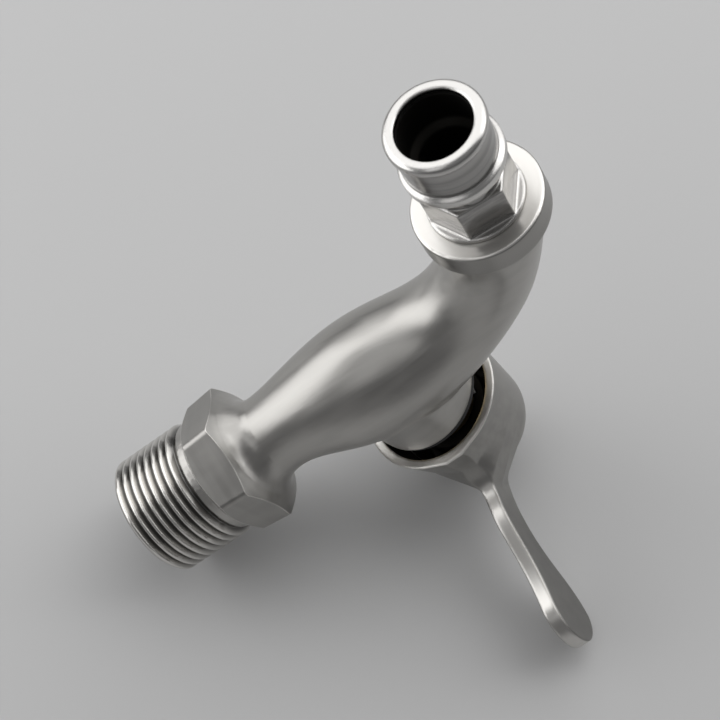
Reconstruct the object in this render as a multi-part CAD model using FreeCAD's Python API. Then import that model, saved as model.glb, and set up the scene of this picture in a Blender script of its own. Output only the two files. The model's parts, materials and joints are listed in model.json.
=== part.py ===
import FreeCAD, Part
import math
import os
from FreeCAD import Placement, Rotation, Vector

# Washing machine tap, in millimetres.
# Origin: centre of the inlet's open end. +X runs from the wall along the inlet. +Z is up, with the handle
# on top. The hose nozzle hangs down and leans away from the wall.

# Inlet
thread_d = 20.955
thread_pitch = 1.55
thread_crests = 8
thread_depth = 0.95
thread_crest_flat = 0.35
thread_lead = 0.55
inlet_end_r = 10.0
relief_r = 9.75
relief_length = 1.3
inlet_bore_r = 6.5
inlet_bore_length = 27.0

# Spanner hexagon
hex_across_flats = 21.4
hex_length = 7.1
hex_draft = 4.5
hex_corner_round = 1.2
hex_crown_angle = 32.0
hex_back_angle = 27.0
neck_fillet = 4.2
hex_back_depth = 1.4

# Body, as round sections along its bent centre line
neck_r = 8.1
throat_r = 8.3
throat_drop = 0.3
belly_margin = 0.5
belly_rise = 1.5
shoulder_r = 8.9
shoulder_rise = 1.2
elbow_r = 7.7
elbow_back = 2.8
elbow_drop = 5.2
section_step = 12.5
valve_x = 46.5
outlet_x = 75.2
outlet_tilt = 15.8

# Outlet collar, measured down the outlet axis from the inlet axis
collar_face = 22.4
collar_r = 10.45
collar_height = 4.4
collar_flare = 2.6
collar_root_r = 8.7
collar_edge = 0.5

# Waterway
inlet_port_r = 3.3
inlet_port_z = -4.3
seat_port_r = 3.4
outlet_port_r = 4.2
outlet_port_z = 4.6
elbow_bore_r = 4.6

# Valve boss and its pocket
boss_top = 13.75
boss_wall = 1.9
boss_chamfer = 0.3
boss_fillet = 1.5
pocket_r = 8.0
seat_z = 0.0

# Hose nozzle, measured down the outlet axis from the inlet axis
nozzle_end = 43.55
nozzle_lip_r = 7.85
nozzle_lip_length = 1.5
nozzle_lip_round = 0.9
nozzle_wall_r = 7.35
nozzle_bead_r = 8.1
nozzle_bead_at = 35.1
nozzle_bead_width = 1.3
nozzle_groove_r = 6.15
nozzle_groove_length = 3.9
nozzle_hex_across_flats = 12.8
nozzle_hex_turn = 6.0
nozzle_flange_r = 7.7
nozzle_flange_thickness = 0.75
nozzle_bore_r = 4.8
nozzle_mouth_r = 5.9
nozzle_mouth_depth = 7.5
nozzle_mouth_round = 0.35
nozzle_stub_r = 6.95
nozzle_stub_length = 5.6
nozzle_stub_chamfer = 0.5
nozzle_seal_neck_r = 5.9
nozzle_seal_depth = 1.7

# Ceramic headwork, on the valve axis
cage_gap = 1.0
cage_wall = 0.6
housing_thread_length = 4.0
housing_hex_inset = 1.8
housing_flange_margin = 0.5
housing_flange_height = 0.8
housing_hex_height = 3.0
housing_neck_r = 5.7
housing_neck_height = 3.2
bonnet_gasket_thickness = 0.9
bonnet_gasket_width = 1.2
seat_seal_height = 2.2
seat_seal_bore_r = 4.2
seat_seal_reach = 1.0
seat_sleeve_wall = 0.6
seat_sleeve_height = 1.8
disc_gap = 0.2
disc_height = 2.2
disc_hub_r = 1.3
disc_rim = 1.2
disc_port_angle = 84.0
disc_key_width = 2.2
drive_slot_width = 3.0
drive_slot_depth = 0.9
spindle_r = 4.0
spindle_flange_r = 5.0
spindle_flange_height = 0.9
spindle_bar_height = 2.0
stop_lug_angle = 60.0
stop_slack = 1.0
handle_travel = 90.0
friction_washer_height = 0.5
oring_section_r = 0.75
oring_pitch = 3.4
clip_height = 0.7
clip_r = 5.0
clip_gap = 2.4
clip_groove_depth = 0.9
spline_teeth = 20
spline_tip_r = 3.9
spline_root_r = 3.4
spline_length = 6.8
window_width = 6.0

# Handle
cup_rim_z = 16.15
cup_gap = 0.9
cup_wall = 1.5
cup_shoulder_r = 9.9
cup_shoulder_z = 29.7
cup_top_z = 35.2
cup_top_lip = 0.7
cup_web = 2.0
lever_thickness = 2.5
lever_edge_round = 0.3
lever_keel = 0.3
lever_hollow_r = 2.5
lever_foot = 0.35
lever_foot_reach = 0.7
lever_tip_r = 6.05
lever_tip_y = 36.4
lever_tip_z = 35.8
insert_r = 5.0
insert_key_width = 1.6
insert_key_height = 0.7
hub_wall = 1.4
screw_r = 2.0
screw_head_r = 3.5
screw_head_height = 1.8
screw_reach = 5.0
screw_socket_r = 1.6
screw_socket_depth = 1.2
screw_hole_past = 1.0
washer_height = 0.7
washer_r = 3.3
washer_split = 0.6
cap_r = 4.3
cap_height = 1.0
cap_ledge = 0.8

# Clearances
screwed_gap = 0.05
running_gap = 0.05
seat_gap = 0.05
drive_gap = 0.15
web_gap = 0.15

# How near a point has to lie to a face to count as on it, and how far a cutter runs past what it cuts
on_face_within = 0.001
neck_root_slack = 0.3
cut_past = 1.0

boss_r = pocket_r + boss_wall
belly_r = boss_r + belly_margin
cup_rim_r = boss_r + cup_gap + cup_wall
housing_cage_r = pocket_r - cage_gap
housing_pocket_r = housing_cage_r - cage_wall
housing_hex_across_flats = 2 * (pocket_r - housing_hex_inset)
disc_r = housing_pocket_r - disc_gap
eighth_turn = math.radians(45)
thread_length = thread_lead + thread_crests * thread_pitch
hex_start = thread_length + relief_length
hex_end = hex_start + hex_length
pocket_floor = seat_z
gasket_top = boss_top + bonnet_gasket_thickness
housing_bottom = pocket_floor + seat_seal_reach
fixed_disc_z = pocket_floor + seat_seal_height
turning_disc_z = fixed_disc_z + disc_height
spindle_bar_z = turning_disc_z + disc_height
spindle_flange_z = spindle_bar_z + spindle_bar_height
washer_z = spindle_flange_z + spindle_flange_height
pocket_roof = washer_z + friction_washer_height + seat_gap
neck_bottom = gasket_top + housing_hex_height
neck_top = neck_bottom + housing_neck_height
clip_z = neck_top + seat_gap
spline_z = clip_z + clip_height + 2 * seat_gap
spindle_top = spline_z + spline_length
web_bottom = spindle_top + web_gap
web_top = web_bottom + cup_web


def outline_face(start, steps):
    """A face bounded by lines and arcs; a step is (point,) for a line or (middle, point) for an arc."""
    edges = []
    here = Vector(start[0], 0, start[1])
    for step in steps:
        there = Vector(step[-1][0], 0, step[-1][1])
        if len(step) == 1:
            edges.append(Part.LineSegment(here, there).toShape())
        else:
            middle = Vector(step[0][0], 0, step[0][1])
            edges.append(Part.Arc(here, middle, there).toShape())
        here = there
    edges.append(Part.LineSegment(here, Vector(start[0], 0, start[1])).toShape())
    return Part.Face(Part.Wire(edges))


def turned(start, steps):
    """A solid turned about Z from an outline of (radius, height) points."""
    return outline_face(start, steps).revolve(Vector(0, 0, 0), Vector(0, 0, 1), 360)


def turned_points(points):
    return turned(points[0], [(point,) for point in points[1:]])


def rod(radius, low, high):
    return Part.makeCylinder(radius, high - low, Vector(0, 0, low))


def tube(outer, inner, low, high):
    return rod(outer, low, high).cut(rod(inner, low, high))


def hexagon_rim(across_flats, height, turn=0.0):
    """The outline of a hexagon about Z with a corner at the given angle from +X."""
    corner_r = across_flats / math.sqrt(3)
    points = []
    for k in range(7):
        angle = math.radians(turn + 60 * k)
        points.append(Vector(corner_r * math.cos(angle), corner_r * math.sin(angle), height))
    return Part.makePolygon(points)


def hexagon(across_flats, low, high, turn=0.0):
    return Part.Face(hexagon_rim(across_flats, low, turn)).extrude(Vector(0, 0, high - low))


def sector(radius, low, high, middle, width):
    """A pie slice about Z."""
    slice_ = Part.makeCylinder(radius, high - low, Vector(0, 0, low), Vector(0, 0, 1), width)
    slice_.rotate(Vector(0, 0, 0), Vector(0, 0, 1), middle - width / 2)
    return slice_


def block(size_x, size_y, low, high):
    return Part.makeBox(size_x, size_y, high - low, Vector(-size_x / 2, -size_y / 2, low))


def rod_between(radius, start, end):
    """A rod from one point to another with a round end at each."""
    path = end - start
    shape = Part.makeCylinder(radius, path.Length, start, path)
    return shape.fuse([Part.makeSphere(radius, start), Part.makeSphere(radius, end)])


def along_inlet(shape):
    """Lay a shape made about Z along +X."""
    shape.Placement = Placement(Vector(0, 0, 0), Rotation(Vector(0, 1, 0), 90)).multiply(shape.Placement)
    return shape


def along_outlet(shape):
    """Hang a shape made about Z on the outlet axis, +Z down the axis."""
    hang = Placement(Vector(outlet_x, 0, 0), Rotation(Vector(0, 1, 0), 180 - outlet_tilt))
    shape.Placement = hang.multiply(shape.Placement)
    return shape


def on_valve(shape):
    """Stand a shape made about Z on the valve axis."""
    shape.Placement = Placement(Vector(valve_x, 0, 0), Rotation()).multiply(shape.Placement)
    return shape


def outlet_point(distance):
    tilt = math.radians(outlet_tilt)
    return Vector(outlet_x + distance * math.sin(tilt), 0, -distance * math.cos(tilt))


def inlet_thread():
    """Thread blank with ring grooves, its chamfered end and the smooth relief behind it."""
    crest_r = thread_d / 2
    root_r = crest_r - thread_depth
    points = [(0, 0), (inlet_end_r, 0), (crest_r, thread_lead)]
    for k in range(thread_crests):
        crest_end = thread_lead + k * thread_pitch + thread_crest_flat
        next_crest = thread_lead + (k + 1) * thread_pitch
        points.append((crest_r, crest_end))
        points.append((root_r, (crest_end + next_crest) / 2))
        if k + 1 < thread_crests:
            points.append((crest_r, next_crest))
    points.append((relief_r, thread_length))
    points.append((relief_r, hex_start + hex_length / 2))
    points.append((0, hex_start + hex_length / 2))
    return along_inlet(turned_points(points))


def spanner_hexagon():
    """Drafted hexagon with rounded corners and flats facing +Y and -Y, crowned at both ends."""
    rims = []
    for height in (hex_start, hex_end + neck_fillet):
        widening = 2 * (height - hex_end) * math.tan(math.radians(hex_draft))
        rims.append(hexagon_rim(hex_across_flats + widening, height))
    prism = Part.makeLoft(rims, True, True)
    prism = prism.makeFillet(hex_corner_round, [edge for edge in prism.Edges if is_hex_corner(edge)])
    corner_r = hex_across_flats / math.sqrt(3)
    front_lean = math.tan(math.radians(hex_crown_angle))
    back_lean = math.tan(math.radians(hex_back_angle))
    back_top = hex_end + (hex_across_flats / 2 - neck_r) * back_lean
    limit = turned_points([
        (0, hex_start),
        (relief_r, hex_start),
        (corner_r, hex_start + (corner_r - relief_r) * front_lean),
        (corner_r, hex_end - (corner_r - hex_across_flats / 2) * back_lean),
        (neck_r - hex_back_depth, back_top + hex_back_depth * back_lean),
        (0, back_top + hex_back_depth * back_lean),
    ])
    return along_inlet(prism.common(limit))


def is_hex_corner(edge):
    """An edge that runs from one end of the hexagon to the other."""
    heights = sorted(vertex.Point.z for vertex in edge.Vertexes)
    return heights[-1] - heights[0] > hex_length / 2


def body_sections():
    """Centre, leaning angle and radius of each round section of the body."""
    stations = [
        (Vector(hex_end, 0, 0), neck_r),
        (Vector(valve_x - section_step, 0, -throat_drop), throat_r),
        (Vector(valve_x, 0, belly_rise), belly_r),
        (Vector(valve_x + section_step, 0, shoulder_rise), shoulder_r),
        (Vector(outlet_x - elbow_back, 0, -elbow_drop), elbow_r),
        (outlet_point(collar_face - collar_height - collar_flare), collar_root_r),
    ]
    line = Part.BSplineCurve()
    line.interpolate(
        Points=[centre for centre, radius in stations],
        InitialTangent=Vector(1, 0, 0),
        FinalTangent=outlet_point(1) - outlet_point(0),
    )
    sections = []
    for centre, radius in stations:
        heading = line.tangent(line.parameter(centre))[0]
        sections.append((centre, math.degrees(math.atan2(heading.x, heading.z)), radius))
    return sections


def bent_body():
    """The bellied body from the hexagon round to the collar."""
    rings = []
    for centre, lean, radius in body_sections():
        ring = quartered_circle(radius)
        ring.Placement = Placement(centre, Rotation(Vector(0, 1, 0), lean))
        rings.append(ring)
    return Part.makeLoft(rings, True, False)


def quartered_circle(radius):
    """A circle about Z in four arcs that start on the diagonals."""
    arcs = []
    for k in range(4):
        angles = [eighth_turn * (1 + 2 * k + step) for step in range(3)]
        points = [Vector(radius * math.cos(angle), radius * math.sin(angle), 0) for angle in angles]
        arcs.append(Part.Arc(*points).toShape())
    return Part.Wire(arcs)


def round_inset(radius):
    """How far the middle of a quarter round lies in from each of its two sides."""
    return radius * (1 - math.cos(eighth_turn))


def collar():
    base = collar_face - collar_height
    root = base - collar_flare
    bend = collar_r - collar_root_r
    middle = (collar_root_r + round_inset(bend), root + collar_flare * math.sin(eighth_turn))
    edge_middle = round_inset(collar_edge)
    return along_outlet(turned((0, root), [
        ((collar_root_r, root),),
        (middle, (collar_r, base)),
        ((collar_r, collar_face - collar_edge),),
        ((collar_r - edge_middle, collar_face - edge_middle), (collar_r - collar_edge, collar_face)),
        ((0, collar_face),),
    ]))


def valve_boss():
    return on_valve(turned_points([
        (0, 0),
        (boss_r, 0),
        (boss_r, boss_top - boss_chamfer),
        (boss_r - boss_chamfer, boss_top),
        (0, boss_top),
    ]))


def waterway():
    """Hollows of the body: inlet bore, port under the seat, valve pocket, outlet port and socket."""
    inlet = along_inlet(rod(inlet_bore_r, 0, inlet_bore_length - inlet_bore_r / 2))
    inlet_end = Vector(inlet_bore_length - inlet_port_r, 0, inlet_port_z / 2)
    under_seat = Vector(valve_x, 0, inlet_port_z)
    port = rod_between(inlet_port_r, inlet_end, under_seat)
    seat_port = on_valve(rod(seat_port_r, inlet_port_z, pocket_floor))
    pocket = on_valve(rod(pocket_r, pocket_floor, boss_top))
    centres = [centre for centre, lean, radius in body_sections()]
    pocket_exit = Vector(valve_x + pocket_r - outlet_port_r, 0, outlet_port_z)
    outlet = rod_between(outlet_port_r, pocket_exit, centres[3])
    bend = rod_between(outlet_port_r, centres[3], centres[4])
    fall = rod_between(outlet_port_r, centres[4], outlet_point(collar_face - nozzle_stub_length))
    socket_r = nozzle_stub_r + screwed_gap
    socket = along_outlet(rod(socket_r, collar_face - nozzle_stub_length - seat_gap, collar_face))
    counterbore = along_outlet(rod(seal_outer_r() + seat_gap, collar_face - nozzle_seal_depth, collar_face))
    return inlet.fuse([port, seat_port, pocket, outlet, bend, fall, socket, counterbore])


def seal_outer_r():
    return nozzle_seal_neck_r + nozzle_seal_depth


def tap_body():
    trunk = bent_body().fuse([valve_boss(), spanner_hexagon()]).removeSplitter()
    trunk = trunk.makeFillet(boss_fillet, [edge for edge in trunk.Edges if is_boss_root(edge)])
    trunk = trunk.makeFillet(neck_fillet, [edge for edge in trunk.Edges if is_neck_root(edge)])
    shell = trunk.fuse([inlet_thread(), collar()]).removeSplitter()
    return shell.cut(waterway())


def is_neck_root(edge):
    """The curve where the neck leaves the back of the hexagon."""
    points = edge.discretize(5)
    behind = all(hex_end < point.x < hex_end + neck_fillet for point in points)
    return behind and all(math.hypot(point.y, point.z) < neck_r + neck_root_slack for point in points)


def is_boss_root(edge):
    """The curve where the boss leaves the body, below the boss's chamfer."""
    points = edge.discretize(5)
    around = all(abs(math.hypot(point.x - valve_x, point.y) - boss_r) < on_face_within for point in points)
    below = all(point.z < boss_top - boss_chamfer - on_face_within for point in points)
    straight = edge.Curve.TypeId == "Part::GeomLine"
    return around and below and not straight


def hose_nozzle():
    """Quick-connect nozzle: lip, locking bead, groove, small hexagon, flange and screwed stub."""
    lip_low = nozzle_end - nozzle_lip_length
    bead_low = nozzle_bead_at - nozzle_bead_width
    bead_rise = nozzle_bead_r - nozzle_wall_r
    groove_low = bead_low - nozzle_groove_length
    flange_top = collar_face + nozzle_flange_thickness
    stub_low = collar_face - nozzle_stub_length
    seal_low = collar_face - nozzle_seal_depth
    round_in = round_inset(nozzle_lip_round)
    outside = turned((0, stub_low), [
        ((nozzle_stub_r - nozzle_stub_chamfer, stub_low),),
        ((nozzle_stub_r, stub_low + nozzle_stub_chamfer),),
        ((nozzle_stub_r, seal_low),),
        ((nozzle_seal_neck_r, seal_low),),
        ((nozzle_seal_neck_r, collar_face),),
        ((nozzle_flange_r, collar_face),),
        ((nozzle_flange_r, flange_top),),
        ((nozzle_groove_r, flange_top),),
        ((nozzle_groove_r, bead_low - bead_rise),),
        ((nozzle_bead_r, bead_low),),
        ((nozzle_bead_r, nozzle_bead_at),),
        ((nozzle_wall_r, nozzle_bead_at + bead_rise / 2),),
        ((nozzle_wall_r, lip_low - nozzle_lip_r + nozzle_wall_r),),
        ((nozzle_lip_r, lip_low),),
        ((nozzle_lip_r, nozzle_end - nozzle_lip_round),),
        ((nozzle_lip_r - round_in, nozzle_end - round_in), (nozzle_lip_r - nozzle_lip_round, nozzle_end)),
        ((0, nozzle_end),),
    ])
    flats = hexagon(nozzle_hex_across_flats, flange_top, groove_low, nozzle_hex_turn)
    step = nozzle_mouth_r - nozzle_bore_r
    mouth_in = round_inset(nozzle_mouth_round)
    mouth_rim_r = nozzle_mouth_r + nozzle_mouth_round
    bore = turned((0, stub_low), [
        ((nozzle_bore_r, stub_low),),
        ((nozzle_bore_r, nozzle_end - nozzle_mouth_depth - step),),
        ((nozzle_mouth_r, nozzle_end - nozzle_mouth_depth),),
        ((nozzle_mouth_r, nozzle_end - nozzle_mouth_round),),
        ((nozzle_mouth_r + mouth_in, nozzle_end - mouth_in), (mouth_rim_r, nozzle_end)),
        ((0, nozzle_end),),
    ])
    return along_outlet(outside.fuse(flats).cut(bore))


def nozzle_seal():
    """Rubber ring squeezed between the nozzle's neck and the collar."""
    section = (nozzle_seal_depth - 2 * seat_gap) / 2
    ring = Part.makeTorus(nozzle_seal_neck_r + nozzle_seal_depth / 2, section)
    ring.translate(Vector(0, 0, collar_face - nozzle_seal_depth / 2))
    return along_outlet(ring)


def headwork_housing():
    """Brass housing: windowed cage, screwed collar, flange, hexagon and neck round the spindle."""
    thread_low = boss_top - housing_thread_length
    shape = rod(housing_cage_r, housing_bottom, boss_top)
    shape = shape.fuse([
        rod(pocket_r - screwed_gap, thread_low, boss_top),
        rod(gasket_bore_r() - seat_gap, boss_top, gasket_top),
        rod(pocket_r + housing_flange_margin, gasket_top, gasket_top + housing_flange_height),
        hexagon(housing_hex_across_flats, gasket_top, neck_bottom),
        rod(housing_neck_r, neck_bottom, neck_top),
    ])
    shape = shape.cut(rod(housing_pocket_r, housing_bottom, pocket_roof))
    shape = shape.cut(rod(spindle_r + running_gap, pocket_roof, neck_top))
    window = block(2 * housing_cage_r + 2 * cut_past, window_width, spindle_bar_z, spindle_flange_z)
    shape = shape.cut(window)
    key_width = disc_key_width + 2 * seat_gap
    shape = shape.cut(block(2 * housing_cage_r + 2 * cut_past, key_width, housing_bottom, turning_disc_z))
    return on_valve(shape.fuse(stop_rib()).removeSplitter())


def gasket_bore_r():
    return pocket_r - bonnet_gasket_width + screwed_gap


def stop_rib():
    """Rib inside the housing that the spindle's lug strikes at each end of the handle's travel."""
    free = stop_lug_angle + handle_travel + 2 * stop_slack
    middle_free = -handle_travel / 2
    inner = spindle_flange_r + 2 * running_gap
    rib = tube(housing_pocket_r + seat_gap, inner, spindle_flange_z, washer_z)
    return rib.cut(sector(2 * housing_pocket_r, spindle_flange_z, washer_z, middle_free, free))


def bonnet_gasket():
    outer = boss_r - boss_chamfer
    return on_valve(tube(outer, gasket_bore_r(), boss_top, gasket_top))


def seat_seal():
    """Rubber ring that stands out of the housing and bears on the body's seat."""
    return on_valve(tube(disc_r, seat_seal_bore_r, pocket_floor, fixed_disc_z))


def seat_sleeve():
    """Ring that keeps the rubber from closing on the port."""
    outer = seat_seal_bore_r - seat_gap
    return on_valve(tube(outer, outer - seat_sleeve_wall, fixed_disc_z - seat_sleeve_height, fixed_disc_z))


def disc_ports(low, high, middle):
    """The two opposite quarter ports of a ceramic disc."""
    ring = tube(disc_r - disc_rim, disc_hub_r, low, high)
    pair = sector(disc_r, low, high, middle, disc_port_angle)
    pair = pair.fuse(sector(disc_r, low, high, middle + 180, disc_port_angle))
    return ring.common(pair)


def fixed_disc():
    """Lower ceramic disc, keyed in the housing by two lugs, its ports along Y."""
    low = fixed_disc_z
    high = turning_disc_z
    lugs = block(2 * (housing_cage_r - seat_gap), disc_key_width, low, high - seat_gap)
    disc = rod(disc_r, low, high).fuse(lugs)
    return on_valve(disc.cut(disc_ports(low, high, 90)))


def turning_disc():
    """Upper ceramic disc, its ports a quarter turn away from the lower disc's: shut at rest."""
    low = turning_disc_z
    high = spindle_bar_z
    disc = rod(disc_r, low, high).cut(disc_ports(low, high, 0))
    slot = block(2 * disc_r + 2 * cut_past, drive_slot_width, high - drive_slot_depth, high)
    slot.rotate(Vector(0, 0, 0), Vector(0, 0, 1), 90)
    return on_valve(disc.cut(slot))


def oring_heights():
    middle = (pocket_roof + neck_top) / 2
    return [middle - oring_pitch / 2, middle + oring_pitch / 2]


def oring_groove_r():
    return spindle_r - 2 * oring_section_r - seat_gap


def spindle():
    """Spindle: driving bar, flange with stop lug, journal with seal grooves, clip groove and spline."""
    bar = block(drive_slot_width - 2 * drive_gap, 2 * (disc_r - drive_gap), bar_foot(), spindle_flange_z)
    bar = bar.common(rod(disc_r - drive_gap, bar_foot(), spindle_flange_z))
    shape = rod(spindle_r, spindle_flange_z, spline_z)
    lug = sector(disc_r, spindle_flange_z, washer_z, 0, stop_lug_angle)
    flange = rod(spindle_flange_r, spindle_flange_z, washer_z)
    shape = shape.fuse([bar, flange, lug, spline(0.0, spindle_top)])
    groove = oring_section_r + seat_gap
    for height in oring_heights():
        shape = shape.cut(tube(spindle_r + cut_past, oring_groove_r(), height - groove, height + groove))
    clip_groove_r = spindle_r - clip_groove_depth
    shape = shape.cut(tube(spindle_r + cut_past, clip_groove_r, clip_z, clip_z + clip_height + seat_gap))
    hole = rod(screw_r + screwed_gap, spindle_top - screw_reach - screw_hole_past, spindle_top)
    return on_valve(shape.cut(hole).removeSplitter())


def bar_foot():
    return spindle_bar_z - drive_slot_depth + seat_gap


def spline(gap, top):
    """The splined length up to a height, grown by the gap for the socket that takes it."""
    points = []
    for k in range(2 * spline_teeth):
        radius = (spline_tip_r if k % 2 else spline_root_r) + gap
        angle = math.pi * k / spline_teeth
        points.append(Vector(radius * math.cos(angle), radius * math.sin(angle), spline_z - gap))
    points.append(points[0])
    return Part.Face(Part.makePolygon(points)).extrude(Vector(0, 0, top - spline_z + gap))


def friction_washer():
    low = washer_z
    return on_valve(tube(spindle_flange_r, spindle_r + running_gap, low, low + friction_washer_height))


def spindle_oring(height):
    ring = Part.makeTorus(spindle_r - oring_section_r, oring_section_r)
    ring.translate(Vector(0, 0, height))
    return on_valve(ring)


def retaining_clip():
    """Open ring in the spindle's groove, resting on the housing's neck."""
    inner = spindle_r - clip_groove_depth + seat_gap
    ring = tube(clip_r, inner, clip_z, clip_z + clip_height)
    mouth = Part.makeBox(2 * clip_r, clip_gap, clip_height, Vector(0, -clip_gap / 2, clip_z))
    return on_valve(ring.cut(mouth))


def cup_taper():
    """How much the cup's wall draws in for each millimetre of height."""
    return (cup_rim_r - cup_shoulder_r) / (cup_shoulder_z - cup_rim_z)


def cup_dome():
    """Centre and radius, in a section, of the arc from the cup's straight side to its flat top."""
    side = math.atan(cup_taper())
    inward = (-math.cos(side), -math.sin(side))
    run = cup_top_r() - cup_shoulder_r
    rise = cup_top_z - cup_shoulder_z
    bend = (run ** 2 + rise ** 2) / (2 * (run * inward[0] + rise * inward[1]))
    return cup_shoulder_r + bend * inward[0], cup_shoulder_z + bend * inward[1], bend


def cup_outside():
    centre_r, centre_z, bend = cup_dome()
    shoulder = math.atan2(cup_shoulder_z - centre_z, cup_shoulder_r - centre_r)
    top = math.atan2(cup_top_z - centre_z, cup_top_r() - centre_r)
    half_way = (shoulder + top) / 2
    middle = (centre_r + bend * math.cos(half_way), centre_z + bend * math.sin(half_way))
    return turned((0, cup_rim_z), [
        ((cup_rim_r, cup_rim_z),),
        ((cup_shoulder_r, cup_shoulder_z),),
        (middle, (cup_top_r(), cup_top_z)),
        ((0, cup_top_z),),
    ])


def cup_top_r():
    return cap_seat_r() + cup_top_lip


def cap_seat_r():
    return cap_r + seat_gap


def cup_inside():
    """The hollow bell of the cup, round the hub that holds the spline insert."""
    top = web_bottom
    top_r = cup_rim_r - cup_wall - cup_taper() * (top - cup_rim_z)
    bell = turned_points([
        (0, cup_rim_z),
        (cup_rim_r - cup_wall, cup_rim_z),
        (top_r, top),
        (0, top),
    ])
    return bell.cut(rod(hub_r(), spline_z, top))


def hub_r():
    return insert_r + insert_key_height + hub_wall


def keyed_rod(radius, key_height, key_width, low, high):
    return rod(radius, low, high).fuse(block(2 * (radius + key_height), key_width, low, high))


def lever_point(out, up):
    """A (y, z) point at shares of the way out and up from the cup's rim to the lever's tip."""
    return cup_rim_r + out * (lever_tip_y - cup_rim_r), cup_rim_z + up * (lever_tip_z - cup_rim_z)


def lever_lower():
    """Points of the lever's lower edge, from the cup's rim to its tip, as (y, z)."""
    return [
        (cup_rim_r + lever_foot, cup_rim_z),
        lever_point(0.027, 0.247),
        lever_point(0.114, 0.425),
        lever_point(0.300, 0.461),
        lever_point(0.631, 0.593),
        (lever_tip_y, lever_tip_z - lever_tip_r),
    ]


def lever_upper():
    """Points of the lever's upper edge, from its tip back to the cup."""
    return [
        (lever_tip_y, lever_tip_z + lever_tip_r),
        lever_point(0.776, 1.163),
        lever_point(0.590, 0.964),
        lever_point(0.383, 0.817),
        lever_point(0.176, 0.761),
        lever_point(-0.010, 0.791),
        (cup_top_r(), lever_point(0, 0.898)[1]),
    ]


def lever_edge_curve(points):
    curve = Part.BSplineCurve()
    curve.interpolate([Vector(0, y, z) for y, z in points])
    return curve.toShape()


def lever_profile():
    """The lever seen from the side."""
    lower = lever_edge_curve(lever_lower())
    upper = lever_edge_curve(lever_upper())
    tip = Part.Arc(
        Vector(0, lever_tip_y, lever_tip_z - lever_tip_r),
        Vector(0, lever_tip_y + lever_tip_r, lever_tip_z),
        Vector(0, lever_tip_y, lever_tip_z + lever_tip_r),
    ).toShape()
    start = lever_lower()[0]
    end = lever_upper()[-1]
    corners = [(end[0], end[1]), (end[0], start[1]), (start[0], start[1])]
    close = Part.makePolygon([Vector(0, y, z) for y, z in corners])
    return Part.Face(Part.Wire([lower, tip, upper] + close.Edges))


def cup_r_at(height):
    """The cup's outer radius at a height."""
    if height <= cup_shoulder_z:
        return cup_rim_r - cup_taper() * (height - cup_rim_z)
    centre_r, centre_z, bend = cup_dome()
    return centre_r + math.sqrt(bend ** 2 - (height - centre_z) ** 2)


def lever_flanks():
    """The lever's flanks at each height: reach from the valve axis, height and half thickness."""
    half = lever_thickness / 2
    return [
        (cup_rim_r + lever_foot_reach, cup_rim_z, half * lever_keel),
        (*lever_point(0.039, 0.247), half * (1 + lever_keel) / 2),
        (*lever_point(0.114, 0.425), half),
        (*lever_point(0.093, 0.603), half),
        (*lever_point(0.002, 0.756), half),
        (*lever_point(-0.114, 0.898), half),
    ]


def lever_plan(reach, height, half):
    """The lever at one height: a flank each side leaves the cup's skin and turns into the blade."""
    skin = cup_r_at(height)
    touch = math.atan2(half, reach) + math.acos(skin / math.hypot(half, reach))
    turn = math.pi / 2 - touch
    run = lever_hollow_r * math.tan(turn / 2)
    bend = (
        half + lever_hollow_r * (1 - math.cos(turn / 2)),
        reach + run - lever_hollow_r * math.sin(turn / 2),
    )
    right = [
        (half, lever_tip_y + lever_tip_r + cut_past),
        (half, reach + run),
        bend,
        (half + run * math.sin(turn), reach - run * math.cos(turn)),
        (skin * math.sin(touch), skin * math.cos(touch)),
        (skin * math.sin(touch), 0),
    ]
    points = [Vector(x, y, height) for x, y in right]
    mirrored = [Vector(-x, y, height) for x, y in reversed(right)]
    return Part.Wire([
        Part.LineSegment(mirrored[-1], points[0]).toShape(),
        Part.LineSegment(points[0], points[1]).toShape(),
        Part.Arc(points[1], points[2], points[3]).toShape(),
        Part.LineSegment(points[3], points[4]).toShape(),
        Part.LineSegment(points[4], points[5]).toShape(),
        Part.LineSegment(points[5], mirrored[0]).toShape(),
        Part.LineSegment(mirrored[0], mirrored[1]).toShape(),
        Part.LineSegment(mirrored[1], mirrored[2]).toShape(),
        Part.Arc(mirrored[2], mirrored[3], mirrored[4]).toShape(),
        Part.LineSegment(mirrored[4], mirrored[5]).toShape(),
    ])


def lever():
    """The upright lever, its side view cut from a blank that flares into the cup."""
    wide = 2 * cup_rim_r
    side_view = lever_profile()
    side_view.translate(Vector(-wide / 2, 0, 0))
    root = Part.makeLoft([lever_plan(*station) for station in lever_flanks()], True, True)
    blade_y, blade_z = lever_upper()[-1]
    blade_size = (lever_thickness, lever_tip_y + lever_tip_r, lever_tip_z + lever_tip_r - blade_z)
    blade = Part.makeBox(*blade_size, Vector(-lever_thickness / 2, blade_y, blade_z))
    shape = side_view.extrude(Vector(wide, 0, 0)).common(root.fuse(blade)).removeSplitter()
    return shape.makeFillet(lever_edge_round, [edge for edge in shape.Edges if is_lever_rim(shape, edge)])


def is_lever_rim(shape, edge):
    """An edge between a flat side of the lever and the outline of its side view."""
    middle = edge.valueAt((edge.FirstParameter + edge.LastParameter) / 2)
    faces = shape.ancestorsOfType(edge, Part.Face)
    leans = sorted(abs(face.normalAt(*face.Surface.parameter(middle)).x) for face in faces)
    return len(leans) == 2 and leans[0] < on_face_within and leans[1] > 1 - on_face_within


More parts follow.
